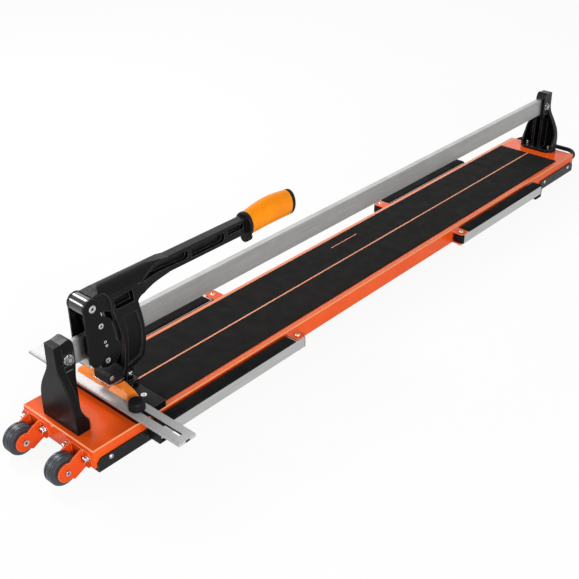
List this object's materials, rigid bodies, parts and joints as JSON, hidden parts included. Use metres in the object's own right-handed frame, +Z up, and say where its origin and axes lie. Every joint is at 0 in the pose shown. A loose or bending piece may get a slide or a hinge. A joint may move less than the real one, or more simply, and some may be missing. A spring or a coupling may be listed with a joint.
{
  "type": "tile_cutter",
  "caption": "Long manual tile cutter: orange pressed bed, single brushed rail on two black towers, roller carriage with scoring and breaking lever, swing-out supports and wheels",
  "frame": {"origin": "centre of the footprint of the whole tool, on the plane of the rubber feet", "axes": "+Y along the rail from the fence to the rear, +Z up, +X to the right of an operator facing the rear"},
  "size_m": [0.371, 1.616, 0.2724],
  "materials": {
    "bed_paint": "glossy orange enamel",
    "orange_plastic": "satin orange moulding",
    "grip_rubber": "ribbed yellow-orange grip",
    "black_casting": "black powder coat on aluminium casting",
    "black_bar": "black coat",
    "black_rubber": "black rubber",
    "mat": "charcoal mottled mat",
    "black_plastic": "black moulding",
    "rib": "pale salmon line",
    "bright_steel": "zinc plated",
    "bright_aluminium": "brushed anodised",
    "dark_steel": "blackened steel plate",
    "gloss_black": "gloss black oxide",
    "yellow_zinc": "yellow zinc plated",
    "carbide": "ground carbide",
    "tyre_grey": "slate grey tyre",
    "nylon": "natural nylon"
  },
  "bodies": {
    "base": {"base_channel": "bed_paint", "cross_braces": "bed_paint", "breaking_rib": "rib", "bed_mats": "mat", "rail": "bright_aluminium", "front_tower": "black_casting", "rear_tower": "black_casting", "rail_bolts": "bright_steel", "hex_bolts": "bright_steel", "rear_handle": "black_bar", "handle_clamps": "black_plastic", "foot_brackets": "black_bar", "foot_screws": "bright_steel", "foot_pads": "black_rubber", "arm_brackets": "bed_paint", "arm_pivot_screws": "yellow_zinc", "wheel_forks": "bed_paint", "wheel_axles": "bright_steel", "fence_bar": "black_casting", "fence_screws": "bright_steel", "angle_stop": "orange_plastic"},
    "support_front_left": {"arm_tube_front_left": "bright_aluminium", "arm_pad_front_left": "black_rubber", "arm_cap_front_left": "black_plastic"},
    "support_front_right": {"arm_tube_front_right": "bright_aluminium", "arm_pad_front_right": "black_rubber", "arm_cap_front_right": "black_plastic"},
    "support_rear_left": {"arm_tube_rear_left": "bright_aluminium", "arm_pad_rear_left": "black_rubber", "arm_cap_rear_left": "black_plastic"},
    "support_rear_right": {"arm_tube_rear_right": "bright_aluminium", "arm_pad_rear_right": "black_rubber", "arm_cap_rear_right": "black_plastic"},
    "wheel_left": {"wheel_hub_left": "black_plastic", "wheel_tyre_left": "tyre_grey"},
    "wheel_right": {"wheel_hub_right": "black_plastic", "wheel_tyre_right": "tyre_grey"},
    "ruler": {"ruler": "bright_aluminium"},
    "clamp_knob": {"fence_knob": "black_plastic"},
    "carriage": {"carriage_plate_left": "dark_steel", "carriage_plate_right": "dark_steel", "link_plates": "dark_steel", "guide_shoes": "nylon", "guide_screws": "bright_steel", "pivot_pin": "bright_steel", "roller_axles": "bright_steel"},
    "top_roller": {"top_roller": "bright_steel"},
    "bottom_roller": {"bottom_roller": "bright_steel"},
    "lever": {"lever": "black_casting", "pivot_barrel": "gloss_black", "grip": "grip_rubber", "finger_guard": "black_plastic", "grip_cap": "black_plastic", "scoring_head": "black_plastic", "guard_plate": "bright_steel", "cutter_axle": "bright_steel", "foot_pin": "bright_steel"},
    "scoring_wheel": {"cutter_wheel": "carbide"},
    "breaker": {"breaker_foot": "dark_steel", "breaker_soles": "black_rubber"}
  },
  "joints": [
    {"name": "carriage_slide", "type": "slide", "parent": "base", "child": "carriage", "axis": [0, 1, 0], "range_m": [0, 1.26]},
    {"name": "top_roller_spin", "type": "hinge", "parent": "carriage", "child": "top_roller", "pos_m": [-0.0045, -0.659, 0.2037], "axis": [1, 0, 0], "continuous": true},
    {"name": "bottom_roller_spin", "type": "hinge", "parent": "carriage", "child": "bottom_roller", "pos_m": [-0.0045, -0.6512, 0.1366], "axis": [1, 0, 0], "continuous": true},
    {"name": "lever_lift", "type": "hinge", "parent": "carriage", "child": "lever", "pos_m": [-0.0045, -0.671, 0.2392], "axis": [1, 0, 0], "range_deg": [0, 22]},
    {"name": "scoring_wheel_spin", "type": "hinge", "parent": "lever", "child": "scoring_wheel", "pos_m": [-0.0045, -0.6225, 0.0792], "axis": [1, 0, 0], "continuous": true},
    {"name": "breaker_tilt", "type": "hinge", "parent": "lever", "child": "breaker", "pos_m": [-0.0045, -0.6105, 0.0882], "axis": [1, 0, 0], "range_deg": [-3, 3]},
    {"name": "wheel_left_spin", "type": "hinge", "parent": "base", "child": "wheel_left", "pos_m": [-0.0571, -0.7828, 0.0258], "axis": [1, 0, 0], "continuous": true},
    {"name": "wheel_right_spin", "type": "hinge", "parent": "base", "child": "wheel_right", "pos_m": [0.0481, -0.7828, 0.0258], "axis": [1, 0, 0], "continuous": true},
    {"name": "support_front_left_swing", "type": "hinge", "parent": "base", "child": "support_front_left", "pos_m": [-0.111, -0.308, 0.0397], "axis": [0, 0, -1], "range_deg": [0, 90]},
    {"name": "support_front_right_swing", "type": "hinge", "parent": "base", "child": "support_front_right", "pos_m": [0.102, -0.308, 0.0397], "axis": [0, 0, 1], "range_deg": [0, 90]},
    {"name": "support_rear_left_swing", "type": "hinge", "parent": "base", "child": "support_rear_left", "pos_m": [-0.111, 0.222, 0.0397], "axis": [0, 0, 1], "range_deg": [0, 90]},
    {"name": "support_rear_right_swing", "type": "hinge", "parent": "base", "child": "support_rear_right", "pos_m": [0.102, 0.222, 0.0397], "axis": [0, 0, -1], "range_deg": [0, 90]},
    {"name": "ruler_slide", "type": "slide", "parent": "base", "child": "ruler", "axis": [1, 0, 0], "range_m": [-0.095, 0.012]},
    {"name": "clamp_turn", "type": "hinge", "parent": "base", "child": "clamp_knob", "pos_m": [0.0725, -0.6505, 0.0802], "axis": [0, 0, 1], "range_deg": [0, 180]}
  ],
  "couplings": [
    {"joint": "top_roller_spin", "follows": "carriage_slide", "rad_per_m": -76.923},
    {"joint": "bottom_roller_spin", "follows": "carriage_slide", "rad_per_m": 74.627}
  ]
}
